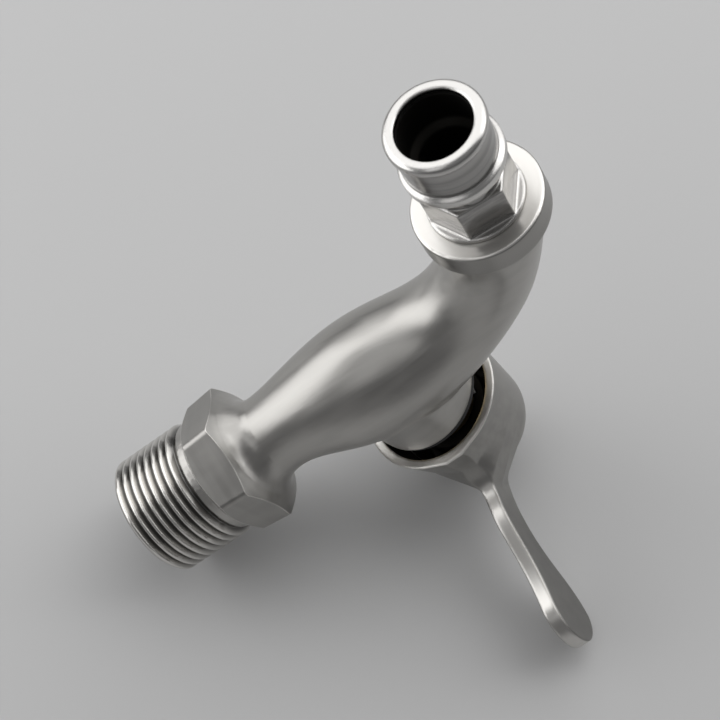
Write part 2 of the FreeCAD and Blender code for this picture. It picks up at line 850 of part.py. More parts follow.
def handle():
    """Bell cup with its upright lever, hub, web and screw recess."""
    shape = cup_outside().fuse(lever()).cut(cup_inside())
    key_width = insert_key_width + 2 * seat_gap
    shape = shape.cut(keyed_rod(insert_r + seat_gap, insert_key_height, key_width, spline_z, web_bottom))
    shape = shape.cut(rod(screw_r + 2 * running_gap, web_bottom, web_top))
    shape = shape.cut(rod(cap_seat_r() - cap_ledge, web_top, cup_top_z))
    shape = shape.cut(rod(cap_seat_r(), cup_top_z - cap_height, cup_top_z))
    return on_valve(shape.removeSplitter())


def spline_insert():
    low = spline_z
    shape = keyed_rod(insert_r, insert_key_height - seat_gap, insert_key_width, low, web_bottom - seat_gap)
    return on_valve(shape.cut(spline(seat_gap, web_bottom)))


def lock_washer():
    low = web_top
    ring = tube(washer_r, screw_r + 2 * running_gap, low, low + washer_height)
    split = Part.makeBox(2 * washer_r, washer_split, washer_height, Vector(0, -washer_split / 2, low))
    return on_valve(ring.cut(split))


def handle_screw():
    head = web_top + washer_height
    shape = rod(screw_r, spindle_top - screw_reach, head)
    top = head + screw_head_height
    shape = shape.fuse(rod(screw_head_r, head, top))
    return on_valve(shape.cut(hexagon(2 * screw_socket_r, top - screw_socket_depth, top)))


def cap_plug():
    """Cap let into the top of the cup over the screw."""
    low = cup_top_z - cap_height
    shape = rod(cap_r, low + seat_gap, cup_top_z)
    return on_valve(shape)


def build():
    parts = {
        "tap_body": tap_body(),
        "hose_nozzle": hose_nozzle(),
        "nozzle_seal": nozzle_seal(),
        "headwork_housing": headwork_housing(),
        "bonnet_gasket": bonnet_gasket(),
        "seat_seal": seat_seal(),
        "seat_sleeve": seat_sleeve(),
        "fixed_disc": fixed_disc(),
        "turning_disc": turning_disc(),
        "spindle": spindle(),
        "friction_washer": friction_washer(),
        "retaining_clip": retaining_clip(),
        "handle": handle(),
        "spline_insert": spline_insert(),
        "lock_washer": lock_washer(),
        "handle_screw": handle_screw(),
        "cap_plug": cap_plug(),
    }
    for number, height in enumerate(oring_heights(), start=1):
        parts[f"spindle_oring_{number}"] = spindle_oring(height)
    return parts


os.makedirs("parts", exist_ok=True)
for name, shape in build().items():
    print(name, "solids", len(shape.Solids), "valid", shape.isValid(), "volume", round(shape.Volume, 1))
    shape.exportStep(f"parts/{name}.step")
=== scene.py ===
import json
import math

import bpy
from mathutils import Matrix, Vector


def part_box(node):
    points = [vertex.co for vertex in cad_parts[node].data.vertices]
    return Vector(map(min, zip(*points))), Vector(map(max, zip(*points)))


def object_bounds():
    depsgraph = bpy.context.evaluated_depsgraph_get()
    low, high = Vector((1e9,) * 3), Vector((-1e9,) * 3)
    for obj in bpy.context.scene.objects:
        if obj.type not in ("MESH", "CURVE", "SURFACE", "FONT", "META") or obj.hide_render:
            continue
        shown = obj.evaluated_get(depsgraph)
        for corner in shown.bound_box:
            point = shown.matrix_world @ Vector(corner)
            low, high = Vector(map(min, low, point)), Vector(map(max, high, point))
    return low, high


bl_info = {
    "name": "Washing machine tap",
    "version": (1, 0, 0),
    "blender": (4, 5, 0),
    "location": "3D View > Sidebar > Tap",
    "description": "Steel finishes, fine detail and a plain studio for a washing machine tap",
    "category": "Object",
}

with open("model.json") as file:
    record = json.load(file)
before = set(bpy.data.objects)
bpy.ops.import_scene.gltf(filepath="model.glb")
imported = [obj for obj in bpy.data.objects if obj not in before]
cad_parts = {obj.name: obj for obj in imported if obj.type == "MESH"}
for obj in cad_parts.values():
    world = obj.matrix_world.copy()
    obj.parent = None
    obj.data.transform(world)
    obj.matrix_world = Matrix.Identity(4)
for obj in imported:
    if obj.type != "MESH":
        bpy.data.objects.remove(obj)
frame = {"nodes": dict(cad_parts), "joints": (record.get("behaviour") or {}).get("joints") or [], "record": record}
CAD_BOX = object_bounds()
VALVE_AXIS = Vector(frame["joints"][0]["pos_m"])
NOZZLE = next(m for m in frame["record"]["mounts"] if m["name"] == "nozzle_bead")

# Where the body's finish changes, in metres from the inlet's open end
THREAD_END = 0.0130
RELIEF_END = 0.0144
HEX_END = 0.0213
# From THREAD_ROOT_R to THREAD_CREST_R, painted shade in the thread's roots turns into a painted highlight on its
# crests
THREAD_ROOT_R = 0.0096
THREAD_CREST_R = 0.0105
INLET_BORE_R = 0.0074
INLET_BORE_DEPTH = 0.019

# The same down the outlet, from the nozzle's bead
COLLAR_BACK = -0.0165
# From NOZZLE_WALL_R to NOZZLE_CREST_R, the painted shade on the nozzle's wall turns into a painted highlight on
# its bead
NOZZLE_WALL_R = 0.0076
NOZZLE_CREST_R = 0.0080
NOZZLE_MOUTH_R = 0.00605
NOZZLE_MOUTH_END = 0.0085

# The same on the handle, from the valve's axis
CUP_RIM_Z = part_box("handle")[0].z
CUP_RIM_WIDTH = 0.0003
CUP_MOUTH_R = 0.01095
CUP_MOUTH_DEPTH = 0.006
CUP_BORE_R = 0.0096
CUP_BORE_START = 0.004
CUP_BORE_DEPTH = 0.0105
# LEVER_EDGE_START: where the painted highlight on the lever's narrow edge fades in; LEVER_FACE_START: where the
# painted shade on its flat face fades in
LEVER_EDGE_START = (0.0135, 0.0165)
LEVER_FACE_START = (0.013, 0.021)

# Lowest and highest roughness of each finish. None crosses 0.27, where denoising draws fine squiggles.
CAST_GLOSS = (0.285, 0.38)
COLLAR_GLOSS = (0.285, 0.36)
THREAD_GLOSS = (0.12, 0.24)
NOZZLE_GLOSS = (0.17, 0.265)
HANDLE_GLOSS = (0.31, 0.40)
LEVER_EDGE_GLOSS = 0.285
SPRING_GLOSS = (0.285, 0.36)
BRASS_GLOSS = (0.285, 0.4)
RUBBER_GLOSS = (0.55, 0.75)
PLASTIC_GLOSS = (0.4, 0.55)
CERAMIC_GLOSS = (0.12, 0.25)

# Painted shade: a near-black colour inside the bores and the handle's cup, and the roughness there
BORE_PAINTED_SHADE = (0.035, 0.033, 0.03, 1)
BORE_SHADE_GLOSS = 0.6
CUP_SHADE_GLOSS = 0.65

# The camera's place and axes, solved from the photograph
CAMERA_PLACE = Vector((0.184866, 0.20848, -0.307705))
CAMERA_RIGHT = Vector((0.77278, 0.30106, 0.55873))
CAMERA_UP = Vector((0.52829, -0.79301, -0.30338))
CAMERA_BACK = Vector((0.35174, 0.52962, -0.77187))
SENSOR_WIDTH = 36.0

FLOOR_FACING = Vector((0.5191, 0.0903, -0.8499))
FLOOR_HALF_SIDE = 3.0
FLOOR_GAP = 0.0005

# Each lamp's name, direction in the camera's right, up and back, distance, size, and its setting in TapStudio
LAMPS = (
    ("key lamp", (0.20, 0.90, 0.38), 0.45, (1.3, 0.64), "key_level"),
    ("bar lamp", (0.69, 0.59, 0.415), 0.42, (0.56, 0.15), "bar_level"),
    ("side lamp", (-0.90, 0.18, 0.20), 0.45, (0.34, 0.56), "side_level"),
    ("fill lamp", (-0.46, 0.05, 0.86), 0.6, (0.24, 0.50), "fill_level"),
    ("back lamp", (0.2, -0.4, -0.9), 0.6, (0.8, 0.8), "back_level"),
)


class TapColours(bpy.types.PropertyGroup):
    """Colours of the tap's materials."""

    cast_steel: bpy.props.FloatVectorProperty(
        name="Cast steel", description="Satin stainless steel of the body and the handle",
        subtype="COLOR", size=3, min=0, max=1, default=(0.43, 0.42, 0.402))
    turned_steel: bpy.props.FloatVectorProperty(
        name="Turned steel", description="Machined stainless steel of the hose nozzle",
        subtype="COLOR", size=3, min=0, max=1, default=(0.55, 0.54, 0.525))
    spring_steel: bpy.props.FloatVectorProperty(
        name="Spring steel", description="Screw, washer and clip",
        subtype="COLOR", size=3, min=0, max=1, default=(0.52, 0.52, 0.52))
    brass: bpy.props.FloatVectorProperty(
        name="Brass", description="Valve housing and spindle",
        subtype="COLOR", size=3, min=0, max=1, default=(0.78, 0.62, 0.34))
    rubber: bpy.props.FloatVectorProperty(
        name="Rubber", description="Seals and gaskets",
        subtype="COLOR", size=3, min=0, max=1, default=(0.03, 0.03, 0.03))
    plastic: bpy.props.FloatVectorProperty(
        name="Plastic", description="Bushes and sleeves",
        subtype="COLOR", size=3, min=0, max=1, default=(0.85, 0.85, 0.82))
    ceramic: bpy.props.FloatVectorProperty(
        name="Ceramic", description="Valve discs",
        subtype="COLOR", size=3, min=0, max=1, default=(0.93, 0.92, 0.88))
    floor: bpy.props.FloatVectorProperty(
        name="Floor", description="Plain floor that the tap lies on",
        subtype="COLOR", size=3, min=0, max=1, default=(0.52, 0.52, 0.52))
    backdrop: bpy.props.FloatVectorProperty(
        name="Backdrop", description="Room round the floor",
        subtype="COLOR", size=3, min=0, max=1, default=(0.18, 0.18, 0.182))


class TapEdges(bpy.types.PropertyGroup):
    """How the tap's edges catch the light."""

    body_round: bpy.props.FloatProperty(
        name="Body edges", description="Radius at which the body's edges catch the light",
        unit="LENGTH", min=0, precision=5, default=0.0003)
    nozzle_round: bpy.props.FloatProperty(
        name="Nozzle edges", description="Radius at which the nozzle's edges catch the light",
        unit="LENGTH", min=0, precision=5, default=0.0007)
    handle_round: bpy.props.FloatProperty(
        name="Handle edges", description="Radius at which the handle's edges catch the light",
        unit="LENGTH", min=0, precision=5, default=0.0007)
    inner_round: bpy.props.FloatProperty(
        name="Inner edges", description="Radius at which the edges of the inner parts catch the light",
        unit="LENGTH", min=0, precision=5, default=0.0001)
    edge_highlight_width: bpy.props.FloatProperty(
        name="Painted edge highlights", description="Width of the painted highlight line along the hexagon's edges",
        unit="LENGTH", min=0, precision=5, default=0.00025)


class TapStudio(bpy.types.PropertyGroup):
    """Camera and lamps."""

    focal_length: bpy.props.FloatProperty(
        name="Focal length", description="Lens of the camera",
        subtype="DISTANCE_CAMERA", unit="CAMERA", min=20, max=400, default=125)
    key_level: bpy.props.FloatProperty(
        name="Key light", description="Brightness of the wide lamp over the tap", min=0, default=1.25)
    bar_level: bpy.props.FloatProperty(
        name="Bar light", description="Brightness of the narrow lamp on the right", min=0, default=1.0)
    side_level: bpy.props.FloatProperty(
        name="Side light", description="Brightness of the lamp on the left", min=0, default=1.9)
    fill_level: bpy.props.FloatProperty(
        name="Fill light", description="Brightness of the weak lamp beside the camera", min=0, default=0.6)
    back_level: bpy.props.FloatProperty(
        name="Back light", description="Brightness of the lamp behind the floor", min=0, default=0.8)


def colours():
    return bpy.context.scene.tap_colours


def edges():
    return bpy.context.scene.tap_edges


def add_node(tree, kind, inputs=None, **settings):
    """A node with its settings, its inputs linked to sockets or set to values."""
    made = tree.nodes.new(kind)
    for name, value in settings.items():
        setattr(made, name, value)
    for name, value in (inputs or {}).items():
        if isinstance(value, bpy.types.NodeSocket):
            tree.links.new(value, made.inputs[name])
        else:
            made.inputs[name].default_value = value
    return made


def ramp(tree, value, low, high, to_low=0.0, to_high=1.0):
    """The value smoothly remapped from low..high to another range."""
    made = add_node(tree, "ShaderNodeMapRange",
                    {"Value": value, "From Min": low, "From Max": high, "To Min": to_low, "To Max": to_high},
                    interpolation_type="SMOOTHSTEP")
    return made.outputs["Result"]


def spread(tree, noise, low=0.0, high=1.0):
    """The middle of a noise's range, where most of it lies, spread over another range."""
    return ramp(tree, noise, 0.3, 0.7, low, high)


def zone(tree, value, edge, softness=0.0003):
    """1 where the value is below an edge, else 0, with a short soft step."""
    return ramp(tree, value, edge - softness, edge + softness, 1.0, 0.0)


def maths(tree, operation, first, second=0.0):
    """The result of one Math node."""
    return add_node(tree, "ShaderNodeMath", {0: first, 1: second}, operation=operation).outputs["Value"]


def blend(tree, factor, first, second):
    """A number between two others."""
    return add_node(tree, "ShaderNodeMix", {"Factor": factor, "A": first, "B": second}).outputs["Result"]


def tint(tree, factor, first, second):
    """A colour between two others."""
    return add_node(tree, "ShaderNodeMix", {"Factor": factor, 6: first, 7: second},
                    data_type="RGBA").outputs[2]


def scaled(colour, share):
    """The colour made darker or lighter, with an alpha of 1."""
    return (*(min(1.0, c * share) for c in colour), 1)


def shaded(tree, factor, colour, low, high):
    """The colour between two shares of its brightness."""
    return tint(tree, factor, scaled(colour, low), scaled(colour, high))


def radius_and_height(tree, vector):
    """Distance from the Z axis of a vector's space, and height along it."""
    parts = add_node(tree, "ShaderNodeSeparateXYZ", {"Vector": vector})
    across = add_node(tree, "ShaderNodeCombineXYZ",
                      {"X": parts.outputs["X"], "Y": parts.outputs["Y"], "Z": 0.0})
    radius = add_node(tree, "ShaderNodeVectorMath", {0: across.outputs["Vector"]}, operation="LENGTH")
    return radius.outputs["Value"], parts.outputs["Z"]


def new_group(name, inputs, outputs):
    """An empty node group with inputs and number outputs: its tree and its two end nodes."""
    tree = bpy.data.node_groups.new(name, "ShaderNodeTree")
    for label, (kind, default) in inputs.items():
        socket = tree.interface.new_socket(name=label, in_out="INPUT", socket_type=kind)
        if default is not None:
            socket.default_value = default
    for label in outputs:
        tree.interface.new_socket(name=label, in_out="OUTPUT", socket_type="NodeSocketFloat")
    return tree, tree.nodes.new("NodeGroupInput"), tree.nodes.new("NodeGroupOutput")


def brushed_group():
    """Streaks of an abrasive belt, a fine height and a wider shade, long where Stretch is small."""
    tree, given, out = new_group(
        "Brushed streaks",
        {"Vector": ("NodeSocketVector", None), "Stretch": ("NodeSocketVector", (0.04, 1.0, 1.0)),
         "Fineness": ("NodeSocketFloat", 2600.0)},
        ("Height", "Shade"))
    stretched = add_node(tree, "ShaderNodeVectorMath",
                         {0: given.outputs["Vector"], 1: given.outputs["Stretch"]}, operation="MULTIPLY")
    fine = add_node(tree, "ShaderNodeTexNoise",
                    {"Vector": stretched.outputs["Vector"], "Scale": given.outputs["Fineness"],
                     "Detail": 4.0, "Roughness": 0.7})
    wide = add_node(tree, "ShaderNodeTexNoise",
                    {"Vector": stretched.outputs["Vector"],
                     "Scale": maths(tree, "MULTIPLY", given.outputs["Fineness"], 0.28),
                     "Detail": 1.5, "Roughness": 0.6})
    tree.links.new(fine.outputs["Fac"], out.inputs["Height"])
    tree.links.new(wide.outputs["Fac"], out.inputs["Shade"])


def turned_group():
    """Tool rings round the local Z axis, a fine height and a wider shade."""
    tree, given, out = new_group(
        "Turned rings",
        {"Vector": ("NodeSocketVector", None), "Fineness": ("NodeSocketFloat", 3000.0)},
        ("Height", "Shade"))
    radius, height = radius_and_height(tree, given.outputs["Vector"])
    rings = add_node(tree, "ShaderNodeCombineXYZ", {"X": radius, "Y": height, "Z": 0.0})
    wobble = add_node(tree, "ShaderNodeVectorMath",
                      {0: given.outputs["Vector"], 1: (0.02, 0.02, 0.0), 2: rings.outputs["Vector"]},
                      operation="MULTIPLY_ADD")
    fine = add_node(tree, "ShaderNodeTexNoise",
                    {"Vector": wobble.outputs["Vector"], "Scale": given.outputs["Fineness"],
                     "Detail": 3.0, "Roughness": 0.6})
    wide = add_node(tree, "ShaderNodeTexNoise",
                    {"Vector": wobble.outputs["Vector"],
                     "Scale": maths(tree, "MULTIPLY", given.outputs["Fineness"], 0.3), "Detail": 2.0})
    tree.links.new(fine.outputs["Fac"], out.inputs["Height"])
    tree.links.new(wide.outputs["Fac"], out.inputs["Shade"])


def polish_group():
    """Hand polishing: slow waves in the surface and cloudy patches in its gloss."""
    tree, given, out = new_group(
        "Hand polish",
        {"Vector": ("NodeSocketVector", None), "Size": ("NodeSocketFloat", 170.0)},
        ("Wave", "Cloud"))
    wave = add_node(tree, "ShaderNodeTexNoise",
                    {"Vector": given.outputs["Vector"], "Scale": given.outputs["Size"],
                     "Detail": 2.0, "Roughness": 0.4})
    cloud = add_node(tree, "ShaderNodeTexNoise",
                     {"Vector": given.outputs["Vector"],
                      "Scale": maths(tree, "MULTIPLY", given.outputs["Size"], 2.2),
                      "Detail": 1.5, "Roughness": 0.5})
    tree.links.new(wave.outputs["Fac"], out.inputs["Wave"])
    tree.links.new(cloud.outputs["Fac"], out.inputs["Cloud"])


# Its mask marks where painted shade goes inside bores
def hollow_group():
    """1 inside a cylinder round the local Z axis, from Top down by Depth and faded in under Top, else 0."""
    tree, given, out = new_group(
        "Inside a bore",
        {"Vector": ("NodeSocketVector", None), "Radius": ("NodeSocketFloat", 0.005),
         "Top": ("NodeSocketFloat", 0.0), "Fade": ("NodeSocketFloat", 0.002),
         "Depth": ("NodeSocketFloat", 0.02)},
        ("Mask",))
    radius, height = radius_and_height(tree, given.outputs["Vector"])
    within = maths(tree, "LESS_THAN", radius, given.outputs["Radius"])
    depth = maths(tree, "SUBTRACT", given.outputs["Top"], height)
    faded = maths(tree, "DIVIDE", depth, given.outputs["Fade"])
    faded = add_node(tree, "ShaderNodeClamp", {"Value": faded}).outputs["Result"]
    above_end = maths(tree, "LESS_THAN", depth, given.outputs["Depth"])
    within = maths(tree, "MULTIPLY", within, above_end)
    tree.links.new(maths(tree, "MULTIPLY", within, faded), out.inputs["Mask"])


def group_node(tree, name, inputs):
    """One use of a node group."""
    return add_node(tree, "ShaderNodeGroup", inputs, node_tree=bpy.data.node_groups[name])


def local_vector(tree, origin=(0, 0, 0), axis=None):
    """Object coordinates about an origin, turned so that an axis lies along local Z."""
    place = tree.nodes.new("ShaderNodeTexCoord").outputs["Object"]
    moved = add_node(tree, "ShaderNodeVectorMath", {0: place, 1: tuple(origin)}, operation="SUBTRACT")
    if axis is None:
        return moved.outputs["Vector"]
    turn = Vector(axis).rotation_difference(Vector((0, 0, 1))).to_euler()
    turned = add_node(tree, "ShaderNodeMapping", {"Vector": moved.outputs["Vector"], "Rotation": turn})
    return turned.outputs["Vector"]


def object_normal(tree):
    """The surface's normal in the object's own axes."""
    return tree.nodes.new("ShaderNodeTexCoord").outputs["Normal"]


def rounded_normal(tree, edge_round):
    """The surface's normal, rounded over sharp edges."""
    return add_node(tree, "ShaderNodeBevel", {"Radius": edge_round}, samples=6).outputs["Normal"]


def towards(tree, normal, axis):
    """Cosine of the angle between a normal and an axis or another normal."""
    made = add_node(tree, "ShaderNodeVectorMath", {0: normal, 1: axis}, operation="DOT_PRODUCT")
    return made.outputs["Value"]


def edge_highlight_mask(tree, width):
    """1 along sharp edges, where a painted highlight goes, else 0."""
    plain = tree.nodes.new("ShaderNodeNewGeometry").outputs["Normal"]
    return ramp(tree, towards(tree, rounded_normal(tree, width), plain), 0.93, 0.995, 1.0, 0.0)


def bumped(tree, layers, edge_round):
    """A normal with rounded edges and layers of (height, strength, depth) on it."""
    normal = rounded_normal(tree, edge_round)
    for height, strength, depth in layers:
        normal = add_node(tree, "ShaderNodeBump", {"Strength": strength, "Distance": depth,
                                                   "Height": height, "Normal": normal}).outputs["Normal"]
    return normal


def new_finish(name, metallic=1.0):
    """A material with a Principled shader: the material, its tree and its shader."""
    material = bpy.data.materials.new(name)
    material.use_nodes = True
    shader = material.node_tree.nodes["Principled BSDF"]
    shader.inputs["Metallic"].default_value = metallic
    return material, material.node_tree, shader


def body_steel():
    """Satin cast body: brushed along its length, round the hexagon, turned on the thread and the collar."""
    colour = colours().cast_steel
    material, tree, shader = new_finish("Satin body steel")
    place = local_vector(tree)
    inlet = local_vector(tree, axis=(-1, 0, 0))
    outlet = local_vector(tree, NOZZLE["pos_m"], NOZZLE["axis"])

    along_inlet = add_node(tree, "ShaderNodeSeparateXYZ", {"Vector": place}).outputs["X"]
    on_thread = zone(tree, along_inlet, THREAD_END)
    to_relief_end = zone(tree, along_inlet, RELIEF_END)
    on_relief = maths(tree, "SUBTRACT", to_relief_end, on_thread)
    on_hexagon = maths(tree, "SUBTRACT", zone(tree, along_inlet, HEX_END), to_relief_end)
    down_outlet = radius_and_height(tree, outlet)[1]
    on_collar = maths(tree, "SUBTRACT", 1.0, zone(tree, down_outlet, COLLAR_BACK, 0.0006))
    on_face = ramp(tree, towards(tree, object_normal(tree), tuple(NOZZLE["axis"])), 0.4, 0.8)
    bore = group_node(tree, "Inside a bore", {"Vector": inlet, "Radius": INLET_BORE_R, "Top": -0.0002,
                                              "Fade": 0.004, "Depth": INLET_BORE_DEPTH})

    drawn_out = add_node(tree, "ShaderNodeVectorMath", {0: place, 1: (0.4, 1.0, 1.0)}, operation="MULTIPLY")
    polish = group_node(tree, "Hand polish", {"Vector": drawn_out.outputs["Vector"], "Size": 130.0})
    torn = add_node(tree, "ShaderNodeTexNoise", {"Vector": place, "Scale": 1100.0, "Detail": 3.0})
    along = group_node(tree, "Brushed streaks", {"Vector": place, "Stretch": (0.05, 1.0, 1.0)})
    around = group_node(tree, "Brushed streaks", {"Vector": place, "Stretch": (1.0, 0.06, 0.06)})
    rings = group_node(tree, "Turned rings", {"Vector": inlet})
    collar_rings = group_node(tree, "Turned rings", {"Vector": outlet, "Fineness": 2400.0})
    tooled = {}
    for part in ("Height", "Shade"):
        value = blend(tree, on_hexagon, along.outputs[part], around.outputs[part])
        value = blend(tree, on_thread, value, rings.outputs[part])
        tooled[part] = blend(tree, on_collar, value, collar_rings.outputs[part])
    cloudy = blend(tree, 0.55, tooled["Shade"], polish.outputs["Cloud"])

    clouds = ramp(tree, cloudy, 0.25, 0.75)
    metal = shaded(tree, clouds, colour, 0.9, 1.06)
    # Painted shade: the hexagon's flats darker than the rest of the body
    metal = tint(tree, on_hexagon, metal, shaded(tree, clouds, colour, 0.72, 0.9))
    # Painted highlight: a bright line along the hexagon's edges, where rounded edges would catch the light
    painted_edge_highlight = maths(tree, "MULTIPLY", on_hexagon, edge_highlight_mask(tree, edges().edge_highlight_width))
    metal = tint(tree, painted_edge_highlight, metal, scaled(colour, 1.9))
    # Painted shade in the thread's roots and a painted highlight on its crests
    crests = ramp(tree, radius_and_height(tree, inlet)[0], THREAD_ROOT_R, THREAD_CREST_R)
    metal = tint(tree, on_thread, metal, shaded(tree, crests, colour, 0.4, 1.6))
    # Painted highlight on the collar's end face and painted shade on its sides
    metal = tint(tree, on_collar, metal, shaded(tree, on_face, colour, 0.74, 1.75))
    # Painted shade inside the inlet's bore
    metal = tint(tree, bore.outputs["Mask"], metal, BORE_PAINTED_SHADE)
    tree.links.new(metal, shader.inputs["Base Color"])

    gloss = spread(tree, cloudy, *CAST_GLOSS)
    gloss = blend(tree, on_collar, gloss, spread(tree, tooled["Shade"], *COLLAR_GLOSS))
    gloss = blend(tree, on_thread, gloss, spread(tree, tooled["Shade"], *THREAD_GLOSS))
    tree.links.new(gloss, shader.inputs["Roughness"])

    torn_relief = maths(tree, "MULTIPLY", on_relief, torn.outputs["Fac"])
    layers = [(polish.outputs["Wave"], 0.25, 0.00007), (torn_relief, 0.7, 0.00015),
              (tooled["Height"], 0.35, 0.00002)]
    tree.links.new(bumped(tree, layers, edges().body_round), shader.inputs["Normal"])
    return material


def nozzle_steel():
    """Turned nozzle: tool rings all round that draw the light out across them, painted shade on its wall and in
    the bore, a painted highlight on its bead and end faces.
    """
    colour = colours().turned_steel
    material, tree, shader = new_finish("Turned nozzle steel")
    place = local_vector(tree, NOZZLE["pos_m"], NOZZLE["axis"])
    on_crest = ramp(tree, radius_and_height(tree, place)[0], NOZZLE_WALL_R, NOZZLE_CREST_R)
    on_face = ramp(tree, towards(tree, object_normal(tree), tuple(NOZZLE["axis"])), 0.3, 0.8)
    bore = group_node(tree, "Inside a bore", {"Vector": place, "Radius": NOZZLE_MOUTH_R,
                                              "Top": NOZZLE_MOUTH_END, "Fade": 0.0012})
    rings = group_node(tree, "Turned rings", {"Vector": place, "Fineness": 3400.0})
    polish = group_node(tree, "Hand polish", {"Vector": place, "Size": 260.0})

    # Painted shade on the nozzle's wall, and a painted highlight on its bead and end faces
    painted_shade_wall = shaded(tree, spread(tree, rings.outputs["Shade"]), colour, 0.5, 0.72)
    metal = tint(tree, maths(tree, "MAXIMUM", on_crest, on_face), painted_shade_wall, scaled(colour, 1.2))
    # Painted shade inside the nozzle's bore
    metal = tint(tree, bore.outputs["Mask"], metal, BORE_PAINTED_SHADE)
    tree.links.new(metal, shader.inputs["Base Color"])

    cloudy = blend(tree, 0.5, rings.outputs["Shade"], polish.outputs["Cloud"])
    gloss = blend(tree, bore.outputs["Mask"], spread(tree, cloudy, *NOZZLE_GLOSS), BORE_SHADE_GLOSS)
    tree.links.new(gloss, shader.inputs["Roughness"])

    layers = [(polish.outputs["Wave"], 0.2, 0.00004), (rings.outputs["Height"], 0.3, 0.000015)]
    tree.links.new(bumped(tree, layers, edges().nozzle_round), shader.inputs["Normal"])
    return material


def handle_steel():
    """Satin handle: brushed along the lever, cloudy on the cup, linished at its rim, painted shade inside it and
    on the lever's flat face, a painted highlight along the lever's narrow edge.
    """
    colour = colours().cast_steel
    material, tree, shader = new_finish("Satin handle steel")
    place = local_vector(tree, VALVE_AXIS)
    into_cup = local_vector(tree, VALVE_AXIS, (0, 0, -1))

    on_rim = zone(tree, radius_and_height(tree, place)[1], CUP_RIM_Z + CUP_RIM_WIDTH, 0.0002)
    reach = add_node(tree, "ShaderNodeSeparateXYZ", {"Vector": place}).outputs["Y"]
    sideways = maths(tree, "ABSOLUTE", towards(tree, object_normal(tree), (1, 0, 0)))
    on_edge = maths(tree, "MULTIPLY", zone(tree, sideways, 0.6, 0.2), ramp(tree, reach, *LEVER_EDGE_START))
    # Masks for the painted shade inside the cup
    mouth = group_node(tree, "Inside a bore", {"Vector": into_cup, "Radius": CUP_MOUTH_R,
                                               "Top": -CUP_RIM_Z - 0.0001, "Fade": 0.0006,
                                               "Depth": CUP_MOUTH_DEPTH})
    deeper = group_node(tree, "Inside a bore", {"Vector": into_cup, "Radius": CUP_BORE_R,
                                                "Top": -CUP_RIM_Z - CUP_BORE_START, "Fade": 0.0006,
                                                "Depth": CUP_BORE_DEPTH})
    inside = maths(tree, "MAXIMUM", mouth.outputs["Mask"], deeper.outputs["Mask"])

    polish = group_node(tree, "Hand polish", {"Vector": place, "Size": 230.0})
    along = group_node(tree, "Brushed streaks", {"Vector": place, "Stretch": (1.0, 0.05, 0.35)})
    torn = add_node(tree, "ShaderNodeTexNoise", {"Vector": place, "Scale": 900.0, "Detail": 3.0})
    cloudy = blend(tree, 0.5, along.outputs["Shade"], polish.outputs["Cloud"])

    clouds = ramp(tree, cloudy, 0.32, 0.68)
    # The handle darker than the body's steel, and painted shade on the lever's flat face, darker still
    metal = tint(tree, ramp(tree, reach, *LEVER_FACE_START), shaded(tree, clouds, colour, 0.7, 0.84),
                 shaded(tree, clouds, colour, 0.5, 0.62))
    # Painted highlight along the lever's narrow edge
    metal = tint(tree, on_edge, metal, scaled(colour, 1.3))
    metal = tint(tree, on_rim, metal, scaled(colour, 1.9))
    # Painted shade inside the cup, where the gap under the handle is dark
    metal = tint(tree, inside, metal, BORE_PAINTED_SHADE)
    tree.links.new(metal, shader.inputs["Base Color"])

    gloss = blend(tree, on_edge, spread(tree, cloudy, *HANDLE_GLOSS), LEVER_EDGE_GLOSS)
    tree.links.new(blend(tree, inside, gloss, CUP_SHADE_GLOSS), shader.inputs["Roughness"])

    torn_rim = maths(tree, "MULTIPLY", on_rim, torn.outputs["Fac"])
    layers = [(polish.outputs["Wave"], 0.35, 0.00006), (torn_rim, 0.6, 0.00012),
              (along.outputs["Height"], 0.3, 0.00002)]
    tree.links.new(bumped(tree, layers, edges().handle_round), shader.inputs["Normal"])
    return material


def spring_steel():
    """Plain turned steel of the screw, the washer and the clip."""
    material, tree, shader = new_finish("Plain spring steel")
    rings = group_node(tree, "Turned rings", {"Vector": local_vector(tree, VALVE_AXIS)})
    metal = shaded(tree, spread(tree, rings.outputs["Shade"]), colours().spring_steel, 0.9, 1.05)
    tree.links.new(metal, shader.inputs["Base Color"])
    tree.links.new(spread(tree, rings.outputs["Shade"], *SPRING_GLOSS), shader.inputs["Roughness"])
    layers = [(rings.outputs["Height"], 0.25, 0.00002)]
    tree.links.new(bumped(tree, layers, edges().inner_round), shader.inputs["Normal"])
    return material


def grained(name, colour, roughness, metallic=0.0, grain=1500.0):
    """A plain finish with a fine grain, for brass, rubber, plastic and ceramic."""
    material, tree, shader = new_finish(name, metallic)
    place = local_vector(tree, VALVE_AXIS)
    noise = add_node(tree, "ShaderNodeTexNoise", {"Vector": place, "Scale": grain, "Detail": 4.0})
    polish = group_node(tree, "Hand polish", {"Vector": place, "Size": 180.0})
    shade = shaded(tree, spread(tree, polish.outputs["Cloud"]), colour, 0.86, 1.06)
    tree.links.new(shade, shader.inputs["Base Color"])
    tree.links.new(spread(tree, noise.outputs["Fac"], *roughness), shader.inputs["Roughness"])
    layers = [(noise.outputs["Fac"], 0.2, 0.00002)]
    tree.links.new(bumped(tree, layers, edges().inner_round), shader.inputs["Normal"])
    return material


def dress(material, *nodes):
    """Gives CAD nodes a material."""
    for name in nodes:
        piece = frame["nodes"][name]
        if not piece.material_slots:
            piece.data.materials.append(material)
        for slot in piece.material_slots:
            slot.material = material


class TAP_OT_body(bpy.types.Operator):
    """Dress the cast body in satin steel"""

    bl_idname = "tap.body"
    bl_label = "Tap body"

    def execute(self, context):
        dress(body_steel(), "tap_body")
        return {"FINISHED"}


